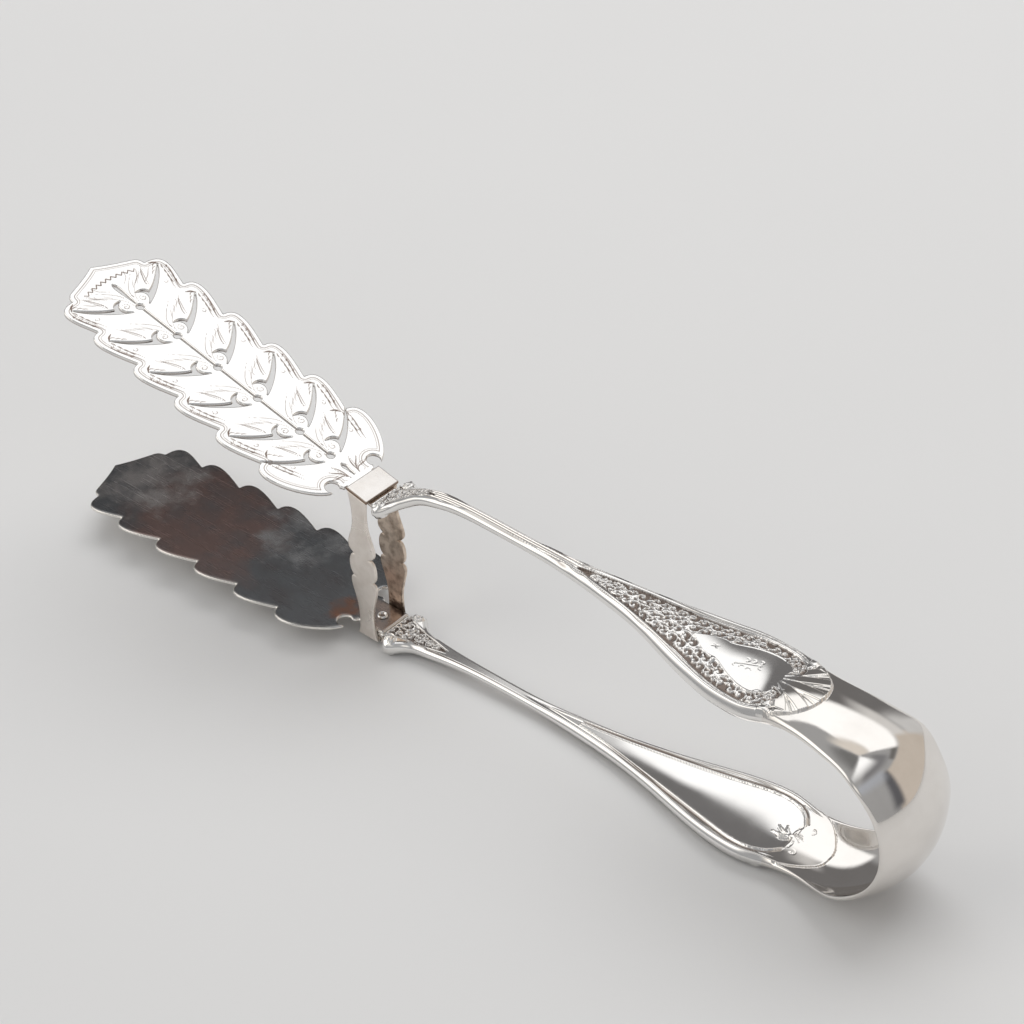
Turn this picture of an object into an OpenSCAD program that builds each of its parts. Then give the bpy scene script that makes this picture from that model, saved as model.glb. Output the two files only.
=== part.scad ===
// Silver serving tongs: two flat handles joined by a springy bow, a pierced upper blade, a plain
// lower blade, and a stirrup on the lower neck that stops the upper arm when it springs open.
// The tongs lie on the lower arm: z = 0 is the surface under them, +X points towards the bow,
// Y runs across the blades, and the origin is the middle of the box that holds the whole object.

/* [Overall] */
// Length from the tip of the lower blade to the back of the bow
overall_length = 251.6; // [250:0.1:253]
// Facets along one curve of an outline
curve_steps = 8; // [5:1:12]

/* [Bow] */
// Outer radius of the bow along its middle line
bow_r = 23.2; // [23:0.1:23.4]
// Height of the bow's cross curve
bow_crown = 3.6; // [3.2:0.1:4]
// Thickness of the bow's sheet
bow_t = 1.0; // [0.8:0.1:1.2]
// Half width of the bow at its widest
bow_half_w = 12.2; // [11.8:0.1:12.6]
// Gap between the two halves of the bow where it flexes
flex_gap = 0.2; // [0.1:0.05:0.3]

/* [Blades] */
// Distance from one notch of the leaf edge to the next
lobe_pitch = 14; // [13.8:0.1:14.2]
// Half width of a blade at its notches
notch_half_w = 13.9; // [13.6:0.1:14.2]
// Thickness of a blade
blade_t = 1.0; // [0.8:0.1:1.1]
// Slope of the lower blade from the table
lower_tilt = 2.1; // [1.9:0.1:2.3]
// Slope of the upper blade from the table, arms open
upper_tilt = 15.8; // [15.6:0.1:16]
// Half width of the upper blade's neck, which slides in the stirrup
upper_neck_half_w = 4.1; // [3.8:0.1:4.2]

/* [Stirrup] */
// Distance from the last notch of the lower blade to the middle of the stirrup
stirrup_s = 22.1; // [21.9:0.1:22.3]
// Half of the clear width between the cheeks
stirrup_half_gap = 4.5; // [4.4:0.05:4.6]
// Thickness of the cheeks, the bridge and the foot strap
stirrup_t = 0.9; // [0.8:0.05:0.95]
// Height of the bridge's top above the lower blade
stirrup_h = 39.9; // [39.9:0.05:40.2]
// Length of the bridge along the tongs
bridge_l = 6.5; // [6.2:0.1:6.8]
// Radius of the rivet's shank
rivet_r = 0.8; // [0.7:0.05:0.9]
// Radius of the rivet's head
rivet_head_r = 1.4; // [1.2:0.1:1.6]

/* [Hidden] */
silver = [0.86, 0.85, 0.83];
bright_silver = [0.95, 0.95, 0.94];
dark_silver = [0.42, 0.39, 0.38];
$fn = 48;

blade_reach = 74.5;                                     // last notch to the point of the tip
bow_x = overall_length / 2 - bow_r;
bow_z = bow_r;
bow_edge_r = bow_r - bow_crown - bow_t / 2;
lower_origin = [blade_reach * cos(lower_tilt) - overall_length / 2, 0, 4.6];
upper_origin = lower_origin + [1.9, 0, 43.55];
lower_neck_end = 26.4;                                  // last notch to the end of the lower neck
upper_neck_end = 27.5;                                  // last notch to the end of the upper neck
section_points = 20;                                    // corners of one cross section
section_power = 0.55;                                   // below 1 makes the section boxier
steps_per_station = 3;                                  // rows between two stations

// ---- curves -----------------------------------------------------------------------------------

function bezier(a, b, c, d, n) =
    [for (i = [0 : n]) let (t = i / n, u = 1 - t)
        u * u * u * a + 3 * u * u * t * b + 3 * u * t * t * c + t * t * t * d];

function reversed(list) = [for (i = [len(list) - 1 : -1 : 0]) list[i]];

function catmull_rom(p0, p1, p2, p3, t) =
    0.5 * (2 * p1 + (p2 - p0) * t + (2 * p0 - 5 * p1 + 4 * p2 - p3) * t * t
           + (3 * p1 - p0 - 3 * p2 + p3) * t * t * t);

function smooth(rows, n) =
    [for (i = [0 : len(rows) - 2], k = [0 : n - 1])
        catmull_rom(rows[max(i - 1, 0)], rows[i], rows[i + 1], rows[min(i + 2, len(rows) - 1)], k / n),
     rows[len(rows) - 1]];

// ---- the sprung body: one sweep from the lower terminal, round the bow, to the upper terminal --

// Each station is [x, z, half width, thickness, crown of the outer face, hollow of the inner face].
// x and z are the middle of the sheet at its edges.
lower_stations = [
    [-25.0, 2.3, 5.2, 3.2, 0, 0],
    [-23.6, 2.0, 6.9, 3.8, 0, 0],
    [-21.6, 1.9, 7.2, 3.8, 0, 0],
    [-19.0, 1.9, 4.9, 3.4, 0, 0],
    [-14.0, 2.0, 3.2, 2.8, 0, 0],
    [-8.0, 2.2, 2.5, 2.4, 0, 0],
    [4.0, 2.3, 1.8, 2.2, 0, 0],
    [22.0, 1.9, 1.9, 2.2, 0, 0],
    [36.0, 1.9, 3.0, 2.2, 0.2, 0],
    [48.0, 1.9, 4.6, 2.2, 0.4, 0.1],
    [60.0, 1.9, 7.2, 2.2, 0.6, 0.2],
    [70.0, 1.9, 9.7, 2.2, 0.8, 0.3],
    [80.0, 2.0, 11.5, 2.2, 0.9, 0.4],
    [86.0, 2.1, 11.4, 2.1, 0.9, 0.4],
    [91.0, 2.3, 10.2, 2.0, 1.2, 0.7],
    [96.0, 2.8, 9.7, 1.6, 1.9, 1.6],
    [101.0, 3.4, 10.1, 1.2, 2.7, 2.6]];
upper_stations = [
    [111.3, 39.6, 11.4, bow_t, 3.3, 3.3],
    [106.0, 40.9, 10.6, 1.1, 2.9, 2.9],
    [100.6, 41.7, 9.9, 1.3, 2.4, 2.3],
    [95.6, 42.1, 9.7, 1.7, 1.8, 1.5],
    [91.0, 42.1, 10.2, 2.0, 1.2, 0.7],
    [87.0, 41.7, 11.2, 2.1, 0.9, 0.4],
    [82.0, 41.8, 11.7, 2.2, 0.9, 0.4],
    [77.0, 42.3, 11.4, 2.2, 0.9, 0.4],
    [71.0, 42.9, 10.2, 2.2, 0.8, 0.3],
    [64.0, 43.9, 8.4, 2.2, 0.7, 0.2],
    [57.0, 45.0, 6.4, 2.2, 0.5, 0.1],
    [44.0, 46.4, 3.9, 2.2, 0.3, 0],
    [32.0, 47.3, 2.4, 2.2, 0, 0],
    [20.0, 48.0, 1.8, 2.2, 0, 0],
    [8.6, 48.7, 1.8, 2.2, 0, 0],
    [-1.0, 48.9, 2.0, 2.3, 0, 0],
    [-7.0, 48.3, 2.5, 2.4, 0, 0],
    [-11.5, 47.0, 2.8, 2.4, 0, 0],
    [-15.0, 45.2, 3.7, 2.4, 0, 0],
    [-18.0, 43.5, 5.0, 2.3, 0, 0],
    [-19.9, 42.5, 6.7, 2.2, 0, 0],
    [-21.4, 41.9, 7.1, 2.1, 0, 0],
    [-22.6, 41.5, 5.7, 2.0, 0, 0],
    [-23.4, 41.2, 4.2, 2.0, 0, 0]];

// The bow's middle runs at one radius, in equal steps of angle from the lower to the upper side
bow_first_angle = -68;
bow_last_angle = 51;
bow_step = 17;
bow_stations = [for (a = [bow_first_angle : bow_step : bow_last_angle])
    [bow_x + bow_edge_r * cos(a), bow_z + bow_edge_r * sin(a), bow_half_w, bow_t, bow_crown, bow_crown]];

// Stations where one piece of the body ends and the next starts
lower_terminal_last = 4;
lower_handle_last = 14;
upper_handle_first = 4;
upper_terminal_first = 17;

first_bow_row = len(lower_stations) * steps_per_station;
first_upper_row = first_bow_row + len(bow_stations) * steps_per_station;
body_rows = smooth(concat(lower_stations, bow_stations, upper_stations), steps_per_station);
lower_terminal_end = lower_terminal_last * steps_per_station;
lower_handle_end = lower_handle_last * steps_per_station;
flex_row = first_bow_row - bow_first_angle / bow_step * steps_per_station;
upper_handle_start = first_upper_row + upper_handle_first * steps_per_station;
upper_terminal_start = first_upper_row + upper_terminal_first * steps_per_station;

function signed_power(v, p) = sign(v) * pow(abs(v), p);

// Closed section across the sheet: points [across, outwards]
function section(row) =
    let (half_w = row[2], half_t = row[3] / 2)
    [for (i = [0 : section_points - 1])
        let (a = 360 * i / section_points,
             across = half_w * signed_power(cos(a), section_power),
             crown = sin(a) > 0 ? row[4] : row[5])
        [across, half_t * signed_power(sin(a), section_power) + crown * (1 - pow(across / half_w, 2))]];

// The section of one row in space: outwards is the right-hand side of the path
function ring(rows, i) =
    let (step = rows[min(i + 1, len(rows) - 1)] - rows[max(i - 1, 0)],
         length = sqrt(step[0] * step[0] + step[1] * step[1]),
         outward = [step[1] / length, -step[0] / length])
    [for (p = section(rows[i]))
        [rows[i][0] + outward[0] * p[1], p[0], rows[i][1] + outward[1] * p[1]]];

// Solid through the rings of body_rows from first to last, slid along Z by lift
module body_part(first, last) {
    rings = [for (i = [first : last]) ring(body_rows, i)];
    n = section_points;
    count = last - first + 1;
    sides = [for (j = [0 : count - 2], i = [0 : n - 1])
        let (k = (i + 1) % n)
        each [[j * n + i, j * n + k, (j + 1) * n + k], [j * n + i, (j + 1) * n + k, (j + 1) * n + i]]];
    caps = [reversed([for (i = [0 : n - 1]) i]), [for (i = [0 : n - 1]) (count - 1) * n + i]];
    polyhedron([for (r = rings) each r], concat(sides, caps), convexity = 4);
}

module lower_handle() {
    color(silver) body_part(lower_terminal_end, lower_handle_end);
}

module upper_handle() {
    color(silver) body_part(upper_handle_start, upper_terminal_start);
}

// Slab above or below the flex plane
module flex_side(direction) {
    translate([bow_x, 0, bow_z + direction * (flex_gap / 2 + bow_r)])
        cube([4 * bow_r, 3 * bow_half_w, 2 * bow_r], center = true);
}

module lower_bow_half() {
    color(bright_silver)
    intersection() {
        body_part(lower_handle_end, flex_row + steps_per_station);
        flex_side(-1);
    }
}

module upper_bow_half() {
    color(bright_silver)
    intersection() {
        body_part(flex_row - steps_per_station, upper_handle_start);
        flex_side(1);
    }
}

// ---- blades: drawn flat, tip towards +X, then mirrored and tilted into place -----------------------

whole_lobes = 4;                                        // lobes that are one whole pitch long
last_notch = whole_lobes * lobe_pitch;                  // the notch nearest the tip
shoulder_s = -18.1;                                     // where the neck meets the leaf
scroll_s = -16.1;                                       // round bites beside the neck
scroll_y = 6.9;
scroll_r = 1.75;

// Leaf edge of one side, from the shoulder of the neck to the tip
leaf_edge = concat(
    [[shoulder_s, 5.0], [-17.4, 5.3]],
    bezier([-17.2, 8.6], [-15.5, 13.5], [-1.2, notch_half_w + 6.7], [0, notch_half_w], curve_steps),
    [for (k = [0 : whole_lobes - 1]) each bezier(
        [k * lobe_pitch, notch_half_w], [k * lobe_pitch + 6, notch_half_w + 2.2],
        [k * lobe_pitch + 13.6, notch_half_w + 5.4], [(k + 1) * lobe_pitch, notch_half_w], curve_steps)],
    bezier([last_notch, notch_half_w], [last_notch + 5, notch_half_w + 1.5], [67.6, 19], [67.7, 11.6],
           curve_steps),
    bezier([67.7, 11.6], [68.6, 11.5], [69.9, 11.2], [70.3, 9.8], 4),
    bezier([70.3, 9.8], [71.4, 6.8], [72.6, 3.4], [blade_reach, 0], curve_steps));

module blade_outline(neck_half_w, neck_end) {
    side = concat([[-neck_end, neck_half_w], [shoulder_s - 0.1, neck_half_w]], leaf_edge);
    difference() {
        polygon(concat(side, reversed([for (p = side) [p[0], -p[1]]])));
        for (side_y = [-1, 1])
            translate([scroll_s, side_y * scroll_y])
                circle(r = scroll_r);
    }
}

// One pierced leaf: a long sickle with a hook round the scroll at its foot
module leaf_slot() {
    polygon(concat(
        bezier([1.3, 2.6], [2.6, 6.0], [7.0, 11.6], [10.8, 13.8], 6),
        bezier([10.8, 13.8], [8.6, 11.4], [5.6, 8.2], [4.7, 5.5], 6),
        bezier([4.7, 5.5], [5.9, 5.3], [6.6, 3.9], [6.2, 2.5], 4),
        bezier([6.2, 2.5], [5.6, 4.9], [2.9, 5.0], [1.3, 2.6], 5)));
}

leaf_starts = [-10.6, 0, 13.7, 27.4, 41.1, 54.6];       // foot of each pair of leaves
hole_places = [-8.7, 1.5, 15.6, 29.2, 43.2, 56.4];      // round holes along the midrib
hole_r = 0.95;
slit_w = 0.35;
slit_margin = 2;                                        // from a hole's middle to the next slit

module piercing() {
    for (s = leaf_starts, side_y = [0, 1])
        translate([s, 0])
            mirror([0, side_y])
                leaf_slot();
    for (s = hole_places)
        translate([s, 0])
            circle(r = hole_r);
    for (i = [0 : len(hole_places) - 2])
        translate([hole_places[i] + slit_margin, -slit_w / 2])
            square([hole_places[i + 1] - hole_places[i] - 2 * slit_margin, slit_w]);
    polygon(concat(bezier([57.9, 0.1], [61.5, 0.15], [63.5, 1.1], [66.5, 0], 6),
                   bezier([66.5, 0], [63.5, -1.1], [61.5, -0.15], [57.9, -0.1], 6)));
    polygon(concat(bezier([-16.4, 0], [-14, 0.4], [-12.4, 1.3], [-12.1, 0], 6),
                   bezier([-12.1, 0], [-12.4, -1.3], [-14, -0.4], [-16.4, 0], 6)));
}

// Puts a flat, tip-forward shape on a blade's plane
module place_blade(origin, tilt) {
    translate(origin)
        rotate([0, tilt, 0])
            mirror([1, 0, 0])
                translate([0, 0, -blade_t / 2])
                    linear_extrude(blade_t)
                        children();
}

module lower_blade() {
    color(dark_silver)
    place_blade(lower_origin, lower_tilt)
        difference() {
            blade_outline(stirrup_half_gap, lower_neck_end);
            translate([-stirrup_s, 0])
                circle(r = rivet_r);
        }
}

module upper_blade() {
    color(bright_silver)
    place_blade(upper_origin, upper_tilt)
        difference() {
            blade_outline(upper_neck_half_w, upper_neck_end);
            piercing();
        }
}

// ---- terminals: the swept body plus, below, the tongue that carries the neck ------------------

tongue_t = 1.2;

// The frame of the lower blade: x towards the bow, z up from the middle of the sheet
module on_lower_blade() {
    translate(lower_origin)
        rotate([0, lower_tilt, 0])
            children();
}

module lower_terminal() {
    color(silver)
    difference() {
        union() {
            body_part(0, lower_terminal_end);
            on_lower_blade()
                translate([stirrup_s - bridge_l / 2, -stirrup_half_gap, -blade_t / 2 - tongue_t])
                    cube([lower_neck_end - stirrup_s + bridge_l / 2 + 1, 2 * stirrup_half_gap, tongue_t]);
        }
        on_lower_blade() {
            translate([0, -bow_r, -blade_t / 2])
                cube([lower_neck_end, 2 * bow_r, bow_r]);
            translate([stirrup_s, 0, -bow_r / 2])
                cylinder(r = rivet_r, h = bow_r);
        }
    }
}

module upper_terminal() {
    color(silver)
    difference() {
        body_part(upper_terminal_start, len(body_rows) - 1);
        translate(upper_origin)
            rotate([0, upper_tilt, 0])
                translate([upper_neck_end - bow_r, -bow_r, -bow_r])
                    cube([bow_r, 2 * bow_r, 2 * bow_r]);
    }
}

// ---- stirrup -----------------------------------------------------------------------------------

foot_z = -blade_t / 2 - tongue_t - stirrup_t;           // underside of the foot strap
bridge_tilt = upper_tilt - lower_tilt;

// Right-hand edge of a cheek from the bridge down to the foot: [along the tongs, up]
cheek_edge = concat(
    bezier([3.2, 40.6], [2.5, 38.0], [2.2, 35.5], [2.2, 33.0], curve_steps),
    bezier([2.2, 33.0], [2.0, 27.0], [6.8, 23.6], [2.1, 21.5], curve_steps),
    bezier([2.1, 21.5], [4.9, 22.3], [4.9, 14.2], [2.2, 15.0], curve_steps),
    bezier([2.2, 15.0], [6.4, 15.0], [2.3, 9.5], [2.3, 4.0], curve_steps),
    bezier([2.3, 4.0], [2.3, 1.0], [2.3, -1.2], [3.2, foot_z], 4));

// Everything above the underside of the bridge
module above_bridge() {
    translate([stirrup_s, 0, stirrup_h])
        rotate([0, bridge_tilt, 0])
            translate([-bow_r, -bow_r, -stirrup_t])
                cube(2 * bow_r);
}

module cheek(side_y) {
    color(silver)
    on_lower_blade()
        difference() {
            translate([stirrup_s, side_y * (stirrup_half_gap + stirrup_t / 2) + stirrup_t / 2, 0])
                rotate([90, 0, 0])
                    linear_extrude(stirrup_t)
                        polygon(concat(cheek_edge, reversed([for (p = cheek_edge) [-p[0], p[1]]])));
            above_bridge();
        }
}

module stirrup_cheek_left() {
    cheek(-1);
}

module stirrup_cheek_right() {
    cheek(1);
}

module stirrup_bridge() {
    color(bright_silver)
    on_lower_blade()
        translate([stirrup_s, 0, stirrup_h])
            rotate([0, bridge_tilt, 0])
                translate([-bridge_l / 2, -stirrup_half_gap - stirrup_t, -stirrup_t])
                    cube([bridge_l, 2 * (stirrup_half_gap + stirrup_t), stirrup_t]);
}

module stirrup_foot_strap() {
    color(silver)
    on_lower_blade()
        difference() {
            translate([stirrup_s - bridge_l / 2, -stirrup_half_gap, foot_z])
                cube([bridge_l, 2 * stirrup_half_gap, stirrup_t]);
            translate([stirrup_s, 0, foot_z - 1])
                cylinder(r = rivet_r, h = stirrup_t + 2);
        }
}

module neck_rivet() {
    head_h = 0.5;
    dimple_r = 0.45;
    color(silver)
    on_lower_blade()
        translate([stirrup_s, 0, 0])
            union() {
                translate([0, 0, foot_z])
                    cylinder(r = rivet_r, h = -foot_z + blade_t / 2);
                translate([0, 0, blade_t / 2])
                    difference() {
                        cylinder(r = rivet_head_r, h = head_h);
                        translate([0, 0, head_h])
                            sphere(r = dimple_r);
                    }
            }
}

lower_blade();
lower_terminal();
lower_handle();
lower_bow_half();
upper_bow_half();
upper_handle();
upper_terminal();
upper_blade();
stirrup_cheek_left();
stirrup_cheek_right();
stirrup_bridge();
stirrup_foot_strap();
neck_rivet();
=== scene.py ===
"""Looks of the silver tongs: every visible piece is built here, in millimetres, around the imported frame."""

import math

import bpy
import numpy as np
from mathutils import Matrix


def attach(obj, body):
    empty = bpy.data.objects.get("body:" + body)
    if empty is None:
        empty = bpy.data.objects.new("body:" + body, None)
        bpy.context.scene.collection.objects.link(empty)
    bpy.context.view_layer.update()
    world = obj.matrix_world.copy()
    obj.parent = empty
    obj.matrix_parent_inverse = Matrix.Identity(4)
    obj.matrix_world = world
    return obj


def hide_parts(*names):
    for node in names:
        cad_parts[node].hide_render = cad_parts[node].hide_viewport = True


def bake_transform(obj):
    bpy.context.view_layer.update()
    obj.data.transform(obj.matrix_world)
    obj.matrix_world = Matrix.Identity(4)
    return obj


MM = 0.001
LENGTH = 251.6
BLADE_REACH = 74.5
LOWER_TILT = math.radians(2.1)
UPPER_TILT = math.radians(15.8)
LOWER_ORIGIN = np.array([BLADE_REACH * math.cos(LOWER_TILT) - LENGTH / 2, 0.0, 4.6])
UPPER_ORIGIN = LOWER_ORIGIN + np.array([1.9, 0.0, 43.55])
BLADE_T = 1.0
BOW_R = 23.2
BOW_CROWN = 3.6
BOW_T = 1.0
BOW_HALF_W = 12.2
BOW_X = LENGTH / 2 - BOW_R
BOW_EDGE_R = BOW_R - BOW_CROWN - BOW_T / 2
# From a place along an arm to the handle pattern's own scale
LOWER_SHIFT = 51.3
UPPER_SHIFT = 49.8

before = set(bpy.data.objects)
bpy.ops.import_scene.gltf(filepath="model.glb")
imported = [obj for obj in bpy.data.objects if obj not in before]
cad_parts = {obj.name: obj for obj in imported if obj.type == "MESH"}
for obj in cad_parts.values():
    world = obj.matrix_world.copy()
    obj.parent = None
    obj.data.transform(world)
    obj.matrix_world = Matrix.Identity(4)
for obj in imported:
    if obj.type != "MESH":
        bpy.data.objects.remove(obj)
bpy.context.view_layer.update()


# ---- curves ----

def bezier(a, b, c, d, n):
    t = np.linspace(0, 1, n + 1)[:, None]
    u = 1 - t
    a, b, c, d = (np.array(p, float) for p in (a, b, c, d))
    return u ** 3 * a + 3 * u * u * t * b + 3 * u * t * t * c + t ** 3 * d


def ramp(value, start, end):
    t = np.clip((value - start) / (end - start), 0, 1)
    return t * t * (3 - 2 * t)


def spline(knots, values, places):
    """Smooth curve of second-order continuity through the values at the knots."""
    knots, values = np.array(knots, float), np.array(values, float)
    n = len(knots)
    h = np.diff(knots)
    system, right = np.zeros((n, n)), np.zeros(values.shape)
    system[0, 0] = system[-1, -1] = 1
    for i in range(1, n - 1):
        system[i, i - 1:i + 2] = h[i - 1], 2 * (h[i - 1] + h[i]), h[i]
        right[i] = 6 * ((values[i + 1] - values[i]) / h[i] - (values[i] - values[i - 1]) / h[i - 1])
    bend = np.linalg.solve(system, right)
    i = np.clip(np.searchsorted(knots, places) - 1, 0, n - 2)
    t = (places - knots[i])[:, None]
    rest = h[i][:, None] - t
    hi = h[i][:, None]
    return (bend[i] * rest ** 3 + bend[i + 1] * t ** 3) / (6 * hi) \
        + (values[i] / hi - bend[i] * hi / 6) * rest + (values[i + 1] / hi - bend[i + 1] * hi / 6) * t


def smooth_line(points, n):
    points = np.array(points, float)
    knots = np.concatenate([[0], np.cumsum(np.hypot(*np.diff(points, axis=0).T))])
    return spline(knots, points, np.linspace(0, knots[-1], n))


def spiral(centre, r, turns, start, hand, n=26):
    """Curl that winds in from its outer end."""
    t = np.linspace(0, 1, n)
    a = start + hand * turns * 2 * math.pi * t
    reach = r * (1 - 0.86 * t ** 1.3)
    return np.stack([centre[0] + reach * np.cos(a), centre[1] + reach * np.sin(a)], 1)


# ---- relief: a height map that strokes are cut into or raised from ----

def segment_distance(px, py, a, b):
    """Distance from each point to the segment from a to b, and how far along it the nearest place is."""
    d = b - a
    t = np.clip(((px - a[0]) * d[0] + (py - a[1]) * d[1]) / max(d @ d, 1e-9), 0, 1)
    return np.hypot(px - a[0] - t * d[0], py - a[1] - t * d[1]), t


def inside(points, px, py):
    """True where a point is inside the closed outline."""
    odd = np.zeros(px.shape, bool)
    for (ax, ay), (bx, by) in zip(points, np.roll(points, -1, axis=0)):
        if ay != by:
            odd ^= ((ay > py) != (by > py)) & (px < (bx - ax) * (py - ay) / (by - ay) + ax)
    return odd


def mirrored(edge):
    """Closed outline from the half on the +Y side."""
    return np.concatenate([edge, (edge * (1, -1))[::-1]])


class Relief:
    """Height map of one face, in the pattern's own millimetres."""
    # Share of a stroke's length over which each end narrows
    TAPER_LENGTH = 0.35
    # Distance, in half widths of a stroke, that is out of its reach
    FAR = 9.0

    def __init__(self, x0, x1, half_y, step):
        self.x0, self.y0, self.step = x0, -half_y, step
        x = np.arange(x0, x1 + step, step)
        y = np.arange(-half_y, half_y + step, step)
        self.x, self.y = np.meshgrid(x, y, indexing="ij")
        self.h = np.zeros(self.x.shape)
        self.grime = self.h

    def keep_grime(self, start, full):
        """Remembers how deep the pattern is now, for darkening, before broad shapes are added."""
        self.grime = np.clip((-self.h - start) / (full - start), 0, 1)

    def within(self, edge):
        """True inside the outline whose half on the +Y side is given."""
        return inside(mirrored(edge), self.x, self.y)

    def window(self, points, reach):
        """Slices of the map that hold everything near the points."""
        low = (points.min(0) - reach - (self.x0, self.y0)) / self.step
        high = (points.max(0) + reach - (self.x0, self.y0)) / self.step
        low = np.clip(np.floor(low).astype(int), 0, np.array(self.h.shape))
        high = np.clip(np.ceil(high).astype(int) + 1, 0, np.array(self.h.shape))
        return slice(low[0], high[0]), slice(low[1], high[1])

    def stroke(self, points, width, height, taper=(0.25, 0.25), base=0.0):
        """Raised (height above base) or cut (negative height) line; taper is the width left at each end."""
        points = np.array(points, float)
        cut = self.window(points, width)
        px, py = self.x[cut], self.y[cut]
        if px.size == 0:
            return
        n = len(points) - 1
        best = np.full(px.shape, self.FAR)
        for i in range(n):
            d, t = segment_distance(px, py, points[i], points[i + 1])
            at = (i + t) / n
            share = np.minimum(taper[0] + (1 - taper[0]) * np.minimum(at / self.TAPER_LENGTH, 1),
                               taper[1] + (1 - taper[1]) * np.minimum((1 - at) / self.TAPER_LENGTH, 1))
            best = np.minimum(best, d / (width / 2 * share))
        if height > 0:
            profile = np.minimum(1.5 * np.sqrt(np.clip(1 - best ** 2, 0, 1)), 1)
            self.h[cut] = np.where(profile > 0, np.maximum(self.h[cut], base + height * profile), self.h[cut])
        else:
            self.h[cut] += height * np.clip(1 - best, 0, 1) * (self.h[cut] > 2 * height)

    def both(self, points, *how, **more):
        """The same stroke on both sides of the middle line."""
        points = np.array(points, float)
        self.stroke(points, *how, **more)
        self.stroke(points * (1, -1), *how, **more)

    def bead(self, x, y, r, height, base=0.0):
        """Round bead on both sides of the middle line."""
        for side in (1, -1):
            self.stroke([(x, side * y), (x + 0.01, side * y)], 2 * r, height, (1, 1), base)

    def sample(self, x, y, grime=False):
        """Height, or darkening, at any place."""
        u = np.clip((x - self.x0) / self.step, 0, self.h.shape[0] - 1.001)
        v = np.clip((y - self.y0) / self.step, 0, self.h.shape[1] - 1.001)
        i, j = u.astype(int), v.astype(int)
        u, v = u - i, v - j
        h = self.grime if grime else self.h
        near = h[i, j] * (1 - u) + h[i + 1, j] * u
        far = h[i, j + 1] * (1 - u) + h[i + 1, j + 1] * u
        return near * (1 - v) + far * v


# ---- meshes ----

def make_mesh(name, points, faces, recess=None, normals=None, edge=None):
    """Object from points in millimetres; recess and edge are the shares of dark and of the rim colour at
    each.
    """
    mesh = bpy.data.meshes.new(name)
    points = np.asarray(points, float) * MM
    mesh.vertices.add(len(points))
    mesh.vertices.foreach_set("co", points.astype(np.float32).ravel())
    counts = np.concatenate([np.full(len(f), f.shape[1]) for f in faces])
    loops = np.concatenate([np.asarray(f).ravel() for f in faces])
    mesh.loops.add(len(loops))
    mesh.loops.foreach_set("vertex_index", loops.astype(np.int32))
    mesh.polygons.add(len(counts))
    starts = np.concatenate([[0], np.cumsum(counts)[:-1]])
    mesh.polygons.foreach_set("loop_start", starts.astype(np.int32))
    mesh.polygons.foreach_set("use_smooth", np.ones(len(counts), bool))
    mesh.update(calc_edges=True)
    mesh.validate()
    for layer, values in (("recess", recess), ("edge", edge)):
        if values is not None:
            mesh.attributes.new(layer, "FLOAT", "POINT").data.foreach_set("value", values.astype(np.float32))
    if normals is not None:
        mesh.normals_split_custom_set_from_vertices(normals.tolist())
    obj = bpy.data.objects.new(name, mesh)
    bpy.context.scene.collection.objects.link(obj)
    return obj


def finish_piece(obj, body, material, nodes=()):
    """Gives a piece its material, the body that it rides on and the nodes that it stands for."""
    obj.data.materials.clear()
    obj.data.materials.append(material)
    if body:
        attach(obj, body)
    if nodes:
        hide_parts(*nodes)


# ---- handle patterns ----

FIELD_EDGE = smooth_line([(84, 0.25), (95, 2.2), (105, 4), (115, 6), (120, 7.3), (125, 8.5), (131, 9.3),
                          (136, 8.9), (139.3, 7.2), (141, 4.9)], 60)
CARTOUCHE = smooth_line([(115, 0), (118, 1.7), (121.6, 3.1), (123, 3.1), (126, 4.3), (130, 5.9), (134, 6.3),
                         (137, 5.2), (138.6, 3.4), (138, 1.9)], 40)
END_EDGE = smooth_line([(139.2, 12), (141.5, 9.7), (144.2, 7.8), (146.9, 5.2), (148.3, 2.4), (148.7, 0)], 30)


def side_line(edge, x):
    """Half width of a half outline at x, before it curls back."""
    top = np.argmax(edge[:, 0])
    return np.interp(x, edge[:top + 1, 0], edge[:top + 1, 1])


def scroll(relief, centre, r, start, hand, base, height):
    """C-scroll with a bead in its eye and four small leaves on its back."""
    curl = spiral(centre, r, 1.05, start, hand)
    relief.stroke(curl, 0.3 * r + 0.1, height, (0.4, 0.75), base)
    relief.stroke([centre, np.array(centre) + 0.01], 0.5 * r, height, (1, 1), base)
    for k in range(4):
        a = start + hand * (0.4 + 0.85 * k)
        root = np.array(centre) + 0.95 * r * np.array([math.cos(a), math.sin(a)])
        lean = a - 0.5 * hand
        tip = np.array(centre) + 1.55 * r * np.array([math.cos(lean), math.sin(lean)])
        middle = (root + tip) / 2 + 0.08 * r
        relief.stroke([root, middle, tip], 0.3 * r + 0.08, height * 0.85, (0.9, 0.2), base)


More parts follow.
